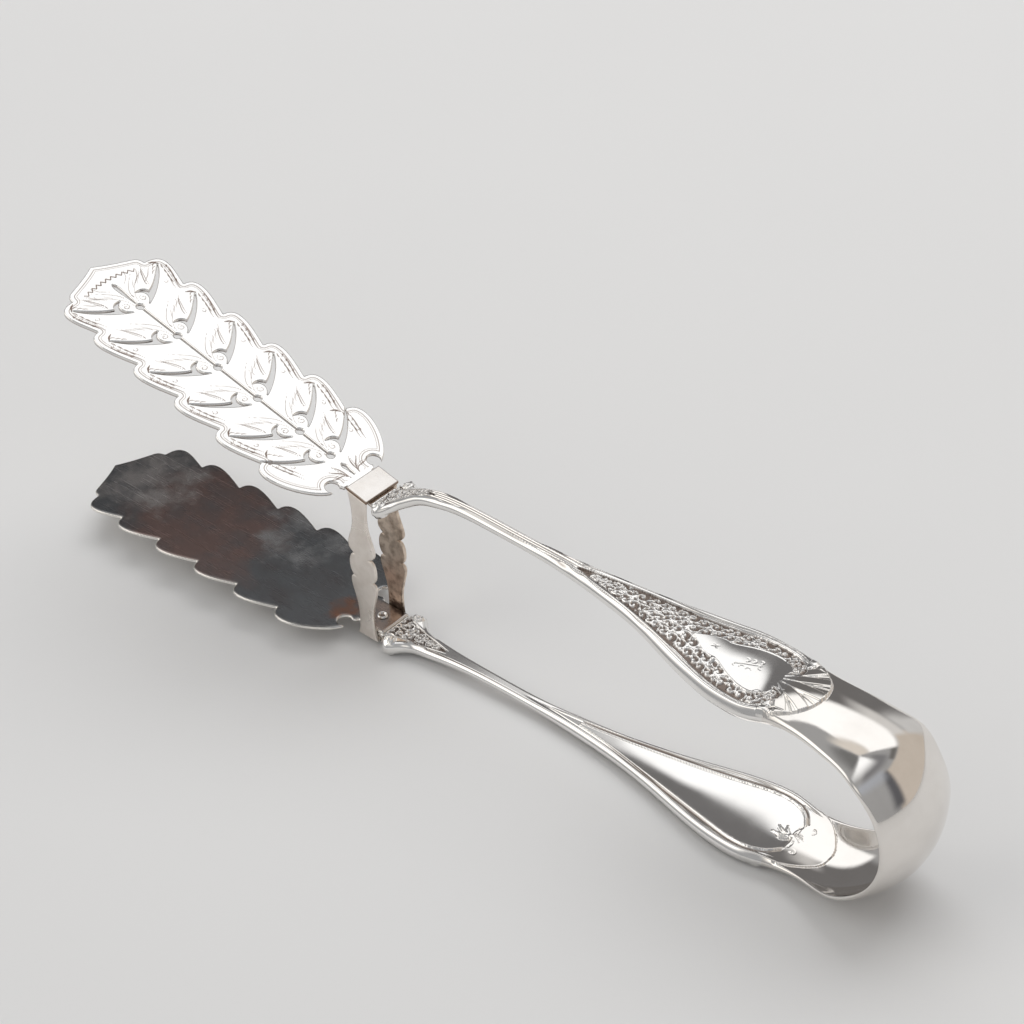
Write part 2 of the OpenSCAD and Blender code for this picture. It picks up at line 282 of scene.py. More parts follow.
def scrollwork(relief, x_start, x_end, low, high, base, height, seed):
    """Fills the band between two half widths, given as functions of x, on both sides of the middle."""
    rng = np.random.default_rng(seed)
    x, k = x_start, 0
    while x < x_end:
        a, b = low(x), high(x)
        rows = 1 if b - a < 3.5 else 2
        r = float(np.clip((b - a) / (1.65 * rows), 0.36, 1.5))
        for row in range(rows):
            y = a + (b - a) * (row + 0.5) / rows
            shift = 0.5 * r * (row % 2) + rng.uniform(-0.12, 0.12)
            start = rng.uniform(0, 1.2) + (math.pi if (k + row) % 2 else 0)
            hand = 1 if (k + row) % 2 else -1
            for side in (1, -1):
                scroll(relief, (x + shift, side * y), r, side * start, side * hand, base, height)
        for _ in range(2):
            y = rng.uniform(a, b)
            turn = rng.uniform(-1.2, 1.2)
            root = np.array([x + rng.uniform(-r, r), y])
            tip = root + rng.uniform(0.5, 0.9) * np.array([math.cos(turn), math.sin(turn)])
            relief.both([root, (root + tip) / 2 + rng.uniform(-0.12, 0.12, 2), tip], 0.3, height * 0.8,
                        taper=(0.5, 0.2), base=base)
        x += 1.7 * r
        k += 1


def sprig(relief):
    """Small engraved cross and sprig in the cartouche."""
    relief.stroke([(120.3, -0.5), (121, 0), (121.7, 0.5)], 0.3, -0.14)
    relief.stroke([(120.3, 0.5), (121, 0), (121.7, -0.5)], 0.3, -0.14)
    relief.stroke([(127.0, -1.6), (129, -0.4), (132.4, 1.4)], 0.26, -0.12)
    for x, y, turn in ((127.6, -2.2, 0.3), (128.8, -1.9, 0.2), (130.2, -1.6, 0.1), (128.4, 1.0, -0.3),
                       (129.8, 1.6, -0.4), (131.2, 2.2, -0.3), (132.6, 0.4, 0.5)):
        relief.stroke(spiral((x, y), 0.95, 0.45, turn * 4, 1, 9), 0.24, -0.11)


def shell(relief):
    """Flutes that fan out from the foot of the cartouche."""
    fan = relief.within(END_EDGE) & ~relief.within(FIELD_EDGE)
    fan |= (relief.x > 138) & (np.abs(relief.y) < 2.6) & (relief.x < 146)
    flat = relief.h.copy()
    root_x = 135.4
    for k in range(-7, 8):
        path = []
        for r in (3.2, 5, 7, 9, 11, 13.4):
            a = k * 0.17 + 0.03 * k * (r - 7) / 5
            path.append((root_x + r * math.cos(a), r * math.sin(a)))
        if k % 2:
            relief.stroke(path, 0.5, -0.2, (0.2, 1))
        else:
            relief.stroke(path, 2.6, 0.3, (0.2, 1), -0.06)
    relief.h = np.where(fan, relief.h, flat)


def plateau(relief, end, start, full, height):
    """Raises the whole pattern towards the line where it ends."""
    area = inside(np.concatenate([[(30, 14)], mirrored(end), [(30, -14)]]), relief.x, relief.y)
    relief.h += height * ramp(relief.x, start, full) * area


def outer_pattern():
    """Outer face of a handle: scrollwork round a plain cartouche, ending in a shell."""
    relief = Relief(38, 156, 13, 0.11)
    sunk = -0.4
    field = relief.within(FIELD_EDGE)
    relief.h[field] = sunk

    def inner_side(x):
        return side_line(CARTOUCHE, x) + 0.25 if x > 115 else 0.05

    scrollwork(relief, 88, 138.5, inner_side, lambda x: side_line(FIELD_EDGE, x) - 0.1, sunk, 0.4, 5)
    plain = relief.within(CARTOUCHE)
    stem = 2.3 + 0.5 * np.clip(relief.x - 138, 0, 4)
    plain |= (relief.x > 136) & (relief.x < 142) & (np.abs(relief.y) < stem)
    relief.h[plain] = 0.05 + 0.12 * (1 - (relief.y[plain] / 6.5) ** 2)
    relief.h[~field & ~plain] = 0
    relief.both(CARTOUCHE, 0.34, 0.12, base=0.05)
    relief.bead(122.9, 3.45, 0.55, 0.3)
    for x, y, hand in ((136.4, 6.0, 1), (138.9, 4.4, -1)):
        for side in (1, -1):
            curl = spiral((x, side * y), 1.25, 1.3, side * 1.6, side * hand)
            relief.stroke(curl, 0.5, 0.42, (0.4, 0.8), sunk + 0.1)
    relief.both(FIELD_EDGE, 0.24, -0.3, taper=(0.6, 0.6))
    relief.both(FIELD_EDGE + (0.15, 0.85), 0.3, -0.34, taper=(0.5, 0.5))
    sprig(relief)
    relief.keep_grime(0.13, 0.36)
    shell(relief)
    plateau(relief, END_EDGE, 104, 136, 0.42)
    relief.both(END_EDGE, 0.3, -0.16, taper=(0.4, 1))
    tip_x = 62
    for x in np.arange(tip_x, 90, 0.8):
        out = x - tip_x
        relief.both([(x, 0.1 + out * 0.02), (x + 0.35, 0.6 + out * 0.035)], 0.2, -0.1)
    return relief


INNER_LINE = smooth_line([(84, 0.35), (92, 1.3), (100, 2.6), (110, 4.4), (120, 6.3), (128, 7.9), (134, 8.7),
                          (138, 8.3), (141.4, 6.6), (143.4, 4.2)], 60)


def spray(relief, x):
    """Leaves and a bead at the end of the inner panel."""
    root = np.array([x, 0.0])
    for turn, reach in ((2.45, 3.4), (2.85, 4.4), (3.35, 4.6), (3.8, 3.2), (0.5, 2.4), (-0.5, 2.4),
                        (1.35, 3.6), (-1.35, 3.6), (0.0, 2.8)):
        tip = root + reach * np.array([math.cos(turn), math.sin(turn)])
        bend = np.array([-math.sin(turn), math.cos(turn)]) * 0.5
        leaf = bezier(root, root * 0.6 + tip * 0.4 + bend, root * 0.3 + tip * 0.7 + bend, tip, 8)
        relief.stroke(leaf, 0.62, 0.22, (0.8, 0.2))
        relief.stroke(leaf + bend * 0.9, 0.26, -0.22, (0.4, 0.2))
    relief.bead(x, 0.0, 0.75, 0.4)


def inner_pattern():
    """Inner face of a handle: a moulded rim, a raised line round a plain panel and a small spray."""
    relief = Relief(38, 156, 13, 0.13)
    relief.both(INNER_LINE, 0.6, 0.26, taper=(0.3, 0.6))
    relief.both(INNER_LINE + (0.2, 0.75), 0.95, -0.34, taper=(0.3, 0.6))
    relief.keep_grime(0.03, 0.22)
    panel = relief.within(INNER_LINE)
    half = np.maximum(side_line(INNER_LINE, relief.x), 1)
    relief.h -= 0.42 * panel * ramp(half, 1.5, 6) * (1 - (relief.y / half) ** 2)
    end = smooth_line([(141, 11.5), (143.5, 9.9), (147.5, 8.0), (150.4, 5.2), (152, 2.2), (152.2, 0)], 40)
    plateau(relief, end, 112, 138, 0.3)
    relief.both(end, 0.34, -0.14, taper=(0.3, 1))
    for side in (1, -1):
        relief.stroke(spiral((145.4, side * 4.0), 1.0, 0.75, -side * 1.9, side), 0.3, -0.2)
    spray(relief, 142.8)
    return relief


RIB_H = 0.1
RIB_PITCH = 0.66


def ribs(s, across):
    """Fine ribs along the outer face of a shank."""
    share = np.clip((1 - np.abs(across) / (1.6 + 0.03 * np.clip(s - 40, 0, 99))) / 0.3, 0, 1)
    share = share * ramp(s, 30, 36) * (1 - ramp(s, 78, 92))
    return RIB_H * share * np.cos(2 * math.pi * across / RIB_PITCH)


def terminal_pattern():
    """Flower relief that narrows to a point, between the two side scrolls of a terminal."""
    relief = Relief(24, 50, 9, 0.09)
    sunk = -0.55
    edge = smooth_line([(26.6, 3.6), (29, 3.1), (31, 2.5), (35, 1.7), (39, 0.9), (42.5, 0.1)], 30)
    field = relief.within(edge)
    relief.h[field] = sunk

    def room(x):
        return np.interp(x, edge[:, 0], edge[:, 1]) - 0.1

    scrollwork(relief, 27.2, 40.5, lambda x: 0.1, room, sunk, 0.75, 11)
    relief.h[~field] = 0
    relief.both(edge, 0.3, -0.25, taper=(0.6, 0.3))
    relief.both(edge + (0.1, 0.45), 0.36, 0.12, taper=(0.6, 0.2))
    for side in (1, -1):
        coil = spiral((28.6, side * 5.4), 1.9, 1.3, -side * 2.3, side)
        relief.stroke(coil, 0.85, 0.5, (0.5, 0.9))
        relief.stroke(coil + (0.3, 0.2 * side), 0.3, -0.25, (0.5, 0.8))
    relief.keep_grime(0.2, 0.5)
    return relief


# ---- the body: one sheet swept from the lower terminal, round the bow, to the upper terminal ----

# Each station: x, z, half width, thickness, crown of the outer face, hollow of the inner face
LOWER = [(-25, 2.3, 5.2, 3.2, 0, 0), (-23.6, 2, 6.7, 3.8, 0, 0), (-21.6, 1.9, 7.1, 3.8, 0, 0),
         (-19, 1.9, 4.9, 3.4, 0, 0), (-14, 2, 3.2, 2.8, 0, 0), (-8, 2.2, 2.5, 2.4, 0, 0),
         (4, 2.3, 1.8, 2.2, 0, 0), (22, 1.9, 1.9, 2.2, 0, 0), (36, 1.9, 3, 2.2, 0.2, 0),
         (48, 1.9, 4.6, 2.2, 0.4, 0.1), (60, 1.9, 7.2, 2.2, 0.6, 0.2), (70, 1.9, 9.7, 2.2, 0.8, 0.3),
         (80, 2, 11.4, 2.2, 0.9, 0.4), (86, 2.1, 11.3, 2.1, 0.9, 0.4),
         (91, 2.3, 10.2, 2, 1.2, 0.7),
         (96, 2.8, 9.7, 1.6, 1.9, 1.6), (101, 3.4, 10.1, 1.2, 2.7, 2.6)]
UPPER = [(111.3, 39.6, 11.4, 1, 3.3, 3.3), (106, 40.9, 10.6, 1.1, 2.9, 2.9),
         (100.6, 41.7, 9.9, 1.3, 2.4, 2.3), (95.6, 42.1, 9.7, 1.7, 1.8, 1.5),
         (91, 42.1, 10.2, 2, 1.2, 0.7), (87, 41.7, 11.2, 2.1, 0.9, 0.4),
         (82, 41.8, 11.6, 2.2, 0.9, 0.4), (77, 42.3, 11.4, 2.2, 0.9, 0.4),
         (71, 42.9, 10.2, 2.2, 0.8, 0.3), (64, 43.9, 8.4, 2.2, 0.7, 0.2),
         (57, 45, 6.4, 2.2, 0.5, 0.1),
         (44, 46.4, 3.9, 2.2, 0.3, 0), (32, 47.3, 2.4, 2.2, 0, 0), (20, 48, 1.8, 2.2, 0, 0),
         (8.6, 48.7, 1.8, 2.2, 0, 0), (-1, 48.9, 2, 2.3, 0, 0), (-7, 48.3, 2.5, 2.4, 0, 0),
         (-11.5, 47, 2.8, 2.4, 0, 0), (-15, 45.2, 3.7, 2.4, 0, 0), (-18, 43.5, 5, 2.3, 0, 0),
         (-19.9, 42.5, 6.6, 2.2, 0, 0), (-21.4, 41.9, 7, 2.1, 0, 0), (-22.6, 41.5, 5.7, 2, 0, 0),
         (-23.3, 41.2, 4.2, 2, 0, 0)]
BOW = [(BOW_X + BOW_EDGE_R * math.cos(a), BOW_R + BOW_EDGE_R * math.sin(a),
        BOW_HALF_W, BOW_T, BOW_CROWN, BOW_CROWN) for a in np.radians(range(-68, 52, 17))]
HANDLE_END_X = 91.0
LOWER_TERMINAL_X = -14.0
UPPER_TERMINAL_X = -11.5


def body_rows(fine, coarse):
    """Rows along the sheet, close together on the ornamented parts, and one exactly where each piece ends."""
    stations = np.array(LOWER + BOW + UPPER)
    first_upper = len(LOWER) + len(BOW)
    steps = np.hypot(*np.diff(stations[:, :2], axis=0).T)
    knots = np.concatenate([[0], np.cumsum(steps)])
    plain_start = knots[len(LOWER) - 1] + 4
    plain_end = knots[first_upper] + 2
    place, places = 0.0, []
    while place < knots[-1]:
        places.append(place)
        place += coarse if plain_start < place < plain_end else fine
    places.append(knots[-1])
    lower_part = range(len(LOWER))
    upper_part = range(first_upper, len(stations))
    for x, part in ((LOWER_TERMINAL_X, lower_part), (HANDLE_END_X, lower_part),
                    (HANDLE_END_X, upper_part), (UPPER_TERMINAL_X, upper_part)):
        exact = [knots[i] for i in part if abs(stations[i, 0] - x) < 1e-6][0]
        places[int(np.argmin(np.abs(np.array(places) - exact)))] = exact
    places = np.array(places)
    middle = (knots[len(LOWER)] + knots[first_upper - 1]) / 2
    return spline(knots, stations, places), places > middle


def rim(inset, amount):
    """Rounded moulding along the edge and the narrow groove inside it."""
    roll = 0.34 * np.sin(np.pi * np.clip(inset / 2.3, 0, 1))
    groove = 0.16 * np.clip(1 - np.abs(inset - 2.45) / 0.2, 0, 1)
    return (roll - groove) * amount


def sheet_section(w, t, n_outer, n_inner, n_edge):
    """One lap round each row's section: the place across the sheet, the height above its middle, and a share
    that is 1 on the outer face and 0 on the inner face."""
    r = np.minimum(t / 2, 0.7 * w)[:, None]
    flat = w[:, None] - r
    half_t = t[:, None] / 2
    turn = np.linspace(math.pi / 2, -math.pi / 2, n_edge + 2)[None, 1:-1]
    back = turn[:, ::-1]
    across = np.concatenate([flat * np.linspace(-1, 1, n_outer), flat + r * np.cos(turn),
                             flat * np.linspace(1, -1, n_inner), -flat - r * np.cos(back)], 1)
    lift = np.concatenate([np.repeat(half_t, n_outer, 1), half_t * np.sin(turn),
                           np.repeat(-half_t, n_inner, 1), half_t * np.sin(back)], 1)
    outer_share = np.concatenate([np.ones((1, n_outer)), 0.5 + 0.5 * np.sin(turn),
                                  np.zeros((1, n_inner)), 0.5 + 0.5 * np.sin(back)], 1)
    return across, lift, outer_share


def ornament(s, across, inset, outer_share):
    """Height of the pattern above the plain sheet, outwards, and how dark its recesses are."""
    outer, inner, bud = outer_pattern(), inner_pattern(), terminal_pattern()
    places = np.broadcast_to(s, across.shape)
    on_terminal = s < 47
    on_outer, on_inner = outer_share > 0.9, outer_share < 0.1
    moulded = ramp(s, 66, 84) * (1 - ramp(s, 139, 147))
    bud_h = bud.sample(places, across)
    shank = ribs(s, across)
    face_out = np.where(on_terminal, bud_h, outer.sample(places, across) + rim(inset, moulded)) + shank
    face_in = np.where(on_terminal, bud_h, inner.sample(places, across) + rim(inset * 1.35, moulded * 0.9))
    height = (face_out * on_outer - face_in * on_inner) * ramp(inset, 0.0, 0.4)
    dark = np.where(on_outer, outer.sample(places, across, True), inner.sample(places, across, True))
    dark = np.where(on_terminal, bud.sample(places, across, True), dark)
    dark = np.maximum(dark, 0.8 * np.clip(-shank / RIB_H, 0, 1) * on_outer)
    return height, dark * (on_outer | on_inner)


def hand_worked(x, z, across, inset):
    """Faint unevenness of the bow's sheet."""
    along = (x - 0.6 * z)[:, None]
    waves = 0.035 * np.sin(across / 2.3 + along / 3.9) * np.sin(along / 2.9 - across / 4.1 + 1.2)
    return waves * ramp(x, HANDLE_END_X + 4, HANDLE_END_X + 10)[:, None] * ramp(inset, 0, 3)


def body_surface(n_outer, n_inner, n_edge, fine, coarse):
    """The whole sheet: its rows, which of them are on the upper arm, and its points, normals and recesses."""
    rows, upper = body_rows(fine, coarse)
    x, z, w, t, crown, hollow = rows.T[:, :, None]
    step = np.gradient(rows[:, :2], axis=0)
    step /= np.hypot(*step.T)[:, None]
    out_x, out_z = step[:, 1:], -step[:, :1]
    across, lift, outer_share = sheet_section(w[:, 0], t[:, 0], n_outer, n_inner, n_edge)
    inset = w - np.abs(across)
    arch = (1 - (across / w) ** 2) * (crown * outer_share + hollow * (1 - outer_share))
    s = x + np.where(upper, UPPER_SHIFT, LOWER_SHIFT)[:, None]
    pattern, recess = ornament(s, across, inset, outer_share)
    height = lift + arch + pattern + hand_worked(x[:, 0], z[:, 0], across, inset)
    points = np.stack([x + out_x * height, across, z + out_z * height], 2)
    lap = np.roll(points, -1, 1) - np.roll(points, 1, 1)
    normals = np.cross(np.gradient(points, axis=0), lap)
    normals /= np.linalg.norm(normals, axis=2)[:, :, None] + 1e-12
    return rows, upper, points, normals, recess


def body_piece(name, surface, first, last, caps=()):
    """The stretch of the swept sheet between two rows, closed with a flat end at each row of caps."""
    points, normals, recess = surface[2:]
    n = points.shape[1]
    count = last - first + 1
    j, i = np.meshgrid(np.arange(count - 1), np.arange(n), indexing="ij")
    k = (i + 1) % n
    quads = np.stack([j * n + i, (j + 1) * n + i, (j + 1) * n + k, j * n + k], 2).reshape(-1, 4)
    faces = [quads]
    flat = points[first:last + 1].reshape(-1, 3)
    up = normals[first:last + 1].reshape(-1, 3)
    dark = recess[first:last + 1].reshape(-1)
    for row in caps:
        middle = len(flat)
        base = 0 if row == first else (count - 1) * n
        ring = flat[base:base + n]
        end = np.array([[*ring.mean(0)]])
        rim_start = middle + 1
        facing = np.cross(ring[1] - ring[0], ring[n // 3] - ring[0])
        facing /= np.linalg.norm(facing)
        facing *= -1 if facing[0] > 0 else 1
        flat = np.concatenate([flat, end, ring])
        up = np.concatenate([up, np.tile(facing, (n + 1, 1))])
        dark = np.concatenate([dark, np.zeros(n + 1)])
        a = np.arange(n)
        fan = np.stack([np.full(n, middle), rim_start + a, rim_start + (a + 1) % n], 1)
        faces.append(fan[:, ::-1] if row == first else fan)
    return make_mesh(name, flat, faces, dark, up)


# ---- plates: flat shapes with rounded edges, holes and engraving ----

def edge_distance(outlines, px, py):
    """Distance to the nearest outline and to the outer one alone, positive in the material. The first
    outline is the outer one; a hole is looked for only within a millimetre of it."""
    far = 99.0
    best = np.full(px.shape, far)
    solid = inside(outlines[0], px, py)
    for number, points in enumerate(outlines):
        low, high = points.min(0) - 1.0, points.max(0) + 1.0
        near = np.ones(px.shape, bool) if number == 0 else \
            (px > low[0]) & (px < high[0]) & (py > low[1]) & (py < high[1])
        qx, qy = px[near], py[near]
        found = np.full(qx.shape, far)
        for a, b in zip(points, np.roll(points, -1, axis=0)):
            found = np.minimum(found, segment_distance(qx, qy, a, b)[0])
        best[near] = np.minimum(best[near], found)
        if number == 0:
            outer = np.where(solid, best, -best)
        else:
            solid[near] &= ~inside(points, qx, qy)
    return np.where(solid, best, -best), outer


def cut_cells(dist, gu, gv):
    """Grid cut along the line where dist is 0. Gives the mask of solid points, the extra points on the line,
    the faces as lists of point numbers, and the line's pieces as pairs of them."""
    solid = dist > 0
    index = -np.ones(gu.shape, int)
    index[solid] = np.arange(solid.sum())
    crossings = {}
    extra = []

    def crossing(i0, j0, i1, j1):
        key = (i0, j0, i1, j1) if (i0, j0) < (i1, j1) else (i1, j1, i0, j0)
        if key not in crossings:
            f = dist[i0, j0] / (dist[i0, j0] - dist[i1, j1])
            crossings[key] = int(solid.sum()) + len(extra)
            extra.append((gu[i0, j0] + f * (gu[i1, j1] - gu[i0, j0]),
                          gv[i0, j0] + f * (gv[i1, j1] - gv[i0, j0])))
        return crossings[key]

    corners = solid[:-1, :-1] * 1 + solid[1:, :-1] + solid[1:, 1:] + solid[:-1, 1:]
    fi, fj = np.nonzero(corners == 4)
    whole = np.stack([index[fi, fj], index[fi + 1, fj], index[fi + 1, fj + 1], index[fi, fj + 1]], 1)
    by_size = {}
    walls = []
    for i, j in zip(*np.nonzero((corners > 0) & (corners < 4))):
        ring = [(i, j), (i + 1, j), (i + 1, j + 1), (i, j + 1)]
        kept = [solid[c] for c in ring]
        if corners[i, j] == 2 and kept[0] == kept[2]:
            groups = [[c] for c in range(4) if kept[c]]
        else:
            first = [c for c in range(4) if kept[c] and not kept[c - 1]][0]
            groups = [[(first + k) % 4 for k in range(4) if kept[(first + k) % 4]]]
        for group in groups:
            a, b = group[0], group[-1]
            enter = crossing(*ring[a], *ring[a - 1])
            leave = crossing(*ring[b], *ring[(b + 1) % 4])
            polygon = [enter] + [index[ring[c]] for c in group] + [leave]
            by_size.setdefault(len(polygon), []).append(polygon)
            walls.append((leave, enter))
    return solid, np.array(extra), [whole] + [np.array(p) for p in by_size.values()], np.array(walls)


def plate(name, outlines, thickness, step, fillet, place, engrave=None, wall_grime=0.0):
    """Plate cut to its outlines on a fine grid; place turns (u, v, height) into the part's frame."""
    low, high = outlines[0].min(0) - 2 * step, outlines[0].max(0) + 2 * step
    u = np.arange(low[0], high[0] + step, step)
    v = np.arange(low[1], high[1] + step, step)
    gu, gv = np.meshgrid(u, v, indexing="ij")
    dist, outer = edge_distance(outlines, gu, gv)
    least = 0.02 * step
    dist[np.abs(dist) < least] = least
    relief = engrave(gu, gv, outer) if engrave else np.zeros(gu.shape)
    solid, extra, faces, walls = cut_cells(dist, gu, gv)
    on_line = np.zeros(len(extra))
    flat = np.concatenate([np.stack([gu[solid], gv[solid]], 1), extra])
    d = np.concatenate([dist[solid], on_line])
    cut_h = np.concatenate([relief[solid], on_line])
    round_off = fillet - np.sqrt(np.clip(fillet ** 2 - np.clip(fillet - d, 0, fillet) ** 2, 0, None))
    top = place(flat[:, 0], flat[:, 1], thickness / 2 - round_off + 0.5 * cut_h)
    bottom = place(flat[:, 0], flat[:, 1], -thickness / 2 + round_off)
    n = len(flat)
    under = [f[:, ::-1] + n for f in faces]
    wall_quads = np.stack([walls[:, 1], walls[:, 0], walls[:, 0] + n, walls[:, 1] + n], 1)
    recess = np.concatenate([np.clip(-cut_h / 0.1, 0, 1), wall_grime * (d < 0.01)])
    edge = np.concatenate([np.clip(1 - d / (1.15 * fillet), 0, 1), np.ones(n)])
    return make_mesh(name, np.concatenate([top, bottom]), faces + under + [wall_quads], recess, edge=edge)


LOBE = 14.0
LOBES = 4
NOTCH_W = 13.9
NECK_END = {"lower": 26.4, "upper": 27.5}
LEAF_STARTS = (-10.6, 0.0, 13.7, 27.4, 41.1, 54.6)
HOLES = (-8.7, 1.5, 15.6, 29.2, 43.2, 56.4)
HOLE_R = 0.95
BITE_R = 1.75


def leaf_outline(neck_w, neck_end, n):
    """Scalloped leaf on its neck, tip towards +u."""
    parts = [[(-neck_end, neck_w), (-18.2, neck_w), (-18.1, 5.0), (-17.4, 5.3)]]
    bite = [(-16.1 + BITE_R * math.cos(a), 6.9 + BITE_R * math.sin(a)) for a in np.linspace(-2.3, 2.6, 18)]
    parts.append(bite)
    parts.append(bezier((-17.3, 8.4), (-15.5, 13.5), (-1.2, NOTCH_W + 6.7), (0, NOTCH_W), n)[1:])
    for k in range(LOBES):
        s = k * LOBE
        parts.append(bezier((s, NOTCH_W), (s + 6, NOTCH_W + 2.2), (s + 13.6, NOTCH_W + 5.4),
                            (s + LOBE, NOTCH_W), n)[1:])
    parts.append(bezier((LOBES * LOBE, NOTCH_W), (61, 15.4), (67.6, 19), (67.7, 11.6), n)[1:])
    parts.append(bezier((67.7, 11.6), (68.6, 11.5), (69.9, 11.2), (70.3, 9.8), 5)[1:])
    parts.append(bezier((70.3, 9.8), (71.4, 6.8), (72.6, 3.4), (BLADE_REACH, 0), n)[1:])
    side = np.concatenate([np.array(p, float) for p in parts])
    return np.concatenate([side, (side * (1, -1))[::-1][1:]])


def slots():
    """The pierced leaves, midrib holes and slits of the upper blade."""
    leaf = np.concatenate([
        bezier((1.3, 2.6), (2.6, 6.0), (7.0, 11.6), (10.8, 13.8), 14),
        bezier((10.8, 13.8), (8.6, 11.4), (5.6, 8.2), (4.7, 5.5), 14)[1:],
        bezier((4.7, 5.5), (5.9, 5.3), (6.6, 3.9), (6.2, 2.5), 8)[1:],
        bezier((6.2, 2.5), (5.6, 4.9), (2.9, 5.0), (1.3, 2.6), 10)[1:-1]])
    found = []
    for s in LEAF_STARTS:
        found.append(leaf + (s, 0))
        found.append((leaf + (s, 0)) * (1, -1))
    for s in HOLES:
        a = np.linspace(0, 2 * math.pi, 21)[:-1]
        found.append(np.stack([s + HOLE_R * np.cos(a), HOLE_R * np.sin(a)], 1))
    half_slit = 0.17
    for a, b in zip(HOLES[:-1], HOLES[1:]):
        start, end = a + 0.8, b - 0.8
        found.append(np.array([(start, -half_slit), (end, -half_slit), (end, half_slit), (start, half_slit)]))
    for start, mid, fat, end in ((57.9, 61.5, 1.1, 66.5), (-16.4, -13.0, 1.1, -12.1)):
        up = bezier((start, 0.12), (mid, 0.15), (end - 1.5, fat), (end, 0), 10)
        found.append(np.concatenate([up, (up * (1, -1))[::-1][1:]]))
    return found


def engrave_leaf(relief, s, squeeze, rng):
    """Ornament round one pair of pierced leaves, s from the first notch."""
    def cell(points):
        return np.array(points, float) * (1, squeeze) + (s, 0)

    def curve(a, b, c, d, n, width, depth, taper=(0.25, 0.25)):
        relief.both(cell(bezier(a, b, c, d, n)), width, depth, taper=taper)

    relief.both(cell([(10.6, 14.1), (11.8, 13.2), (12.4, 12.0)]), 0.56, -0.18)
    curve((0.2, 11.9), (3.0, 12.6), (6.4, 15.0), (9.4, 15.2), 12, 0.34, -0.15, (0.1, 0.2))
    curve((1.2, 11.2), (3.4, 11.6), (5.0, 13.0), (7.8, 13.6), 10, 0.24, -0.12)
    for k in range(4):
        root = np.array([3.2 + 1.75 * k, 12.75 + 0.5 * k])
        relief.both(cell(spiral(root + (0.5, 0.5), 0.5, 0.9, -1.2, -1, 12)), 0.24, -0.12)
        relief.both(cell([root + (0.1, -0.5), root + (0.9, -0.35), root + (1.7, 0.0)]), 0.4, -0.13)
    relief.both(cell(spiral((4.7, 10.9), 0.75, 0.9, 0.4, 1)), 0.21, -0.12)
    curve((6.0, 6.6), (8.0, 6.4), (10.4, 8.4), (12.0, 9.2), 12, 0.27, -0.14)
    curve((6.2, 7.0), (8.6, 7.6), (10.0, 8.6), (12.0, 9.2), 12, 0.21, -0.12)
    relief.both(cell(spiral((3.7, 2.75), 1.0, 1.3, 0.6, -1)), 0.19, -0.14)
    curve((4.3, 1.3), (7.2, 0.2), (9.4, 2.8), (12.4, 6.4), 16, 0.18, -0.12)
    curve((2.6, 1.0), (5.4, 0.7), (10.4, 4.6), (11.6, 10.4), 16, 0.16, -0.092)
    for k in range(4):
        bend = rng.uniform(-0.4, 0.4)
        start = (7.2 + 0.9 * k, 3.4 + 1.5 * k)
        end = (10.2 + 0.9 * k, 4.9 + 1.7 * k)
        curve(start, (start[0] + 1, start[1] + bend), (end[0] - 1, end[1] + bend), end, 6, 0.22, -0.08)
    for k in range(3):
        relief.both(cell([(8.6 + k, 10.2 + 0.9 * k), (9.3 + k, 10.9 + 0.9 * k), (9.4 + k, 11.7 + 0.9 * k)]),
                    0.34, -0.11)


def engraving(gu, gv, outer):
    """Bright-cut ornament of the upper blade, on the plate's own grid."""
    relief = Relief(gu[0, 0], gu[-1, 0], -gv[0, 0], gu[1, 0] - gu[0, 0])
    relief.x, relief.y, relief.h = gu, gv, np.zeros(gu.shape)
    on_leaf = gu > -17
    for inset, depth, half in ((1.2, 0.11, 0.15), (1.75, 0.08, 0.12)):
        relief.h -= depth * np.clip(1 - np.abs(outer - inset) / half, 0, 1) * on_leaf
    rng = np.random.default_rng(3)
    for number, s in enumerate(LEAF_STARTS):
        engrave_leaf(relief, s, 0.86 if number == 0 else 1.0, rng)
    teeth = range(-10, 11)
    zigzag = [(68.4 + 0.5 * (-1) ** k - 0.0144 * k ** 2, 0.8 * k) for k in teeth]
    relief.stroke(zigzag, 0.4, -0.15, (0.8, 0.8))
    relief.both([(63, 4.2), (65, 6.8), (67.5, 8.4)], 0.24, -0.12)
    relief.both([(62, 6.4), (63.6, 9), (65.8, 11.2)], 0.24, -0.12)
    relief.both([(64.6, 2.2), (66.4, 4.4), (69, 5.6)], 0.21, -0.1)
    for turn in (0.25, 0.6, 1.1):
        x = -16.5 + 5.2 * math.cos(turn)
        y = 1.6 + 5.2 * math.sin(turn)
        long_leaf = bezier((-16.8, 1.5), (-14, 1.8), (x - 2, y - 1.2), (x, y), 10)
        vein = bezier((-16.2, 1.9), (-13, 2.6), (x - 1.6, y - 0.4), (x, y), 10)
        relief.both(long_leaf, 0.4, -0.14, taper=(0.2, 0.1))
        relief.both(vein, 0.19, -0.1)
    return relief.h


def on_blade(origin, tilt, middle=0.0):
    """Turns a flat, tip-forward shape into a blade's plane."""
    def place(u, v, h):
        h = h + middle
        return np.stack([origin[0] - u * math.cos(tilt) + h * math.sin(tilt), origin[1] + v,
                         origin[2] + u * math.sin(tilt) + h * math.cos(tilt)], 1)
    return place


# ---- materials ----

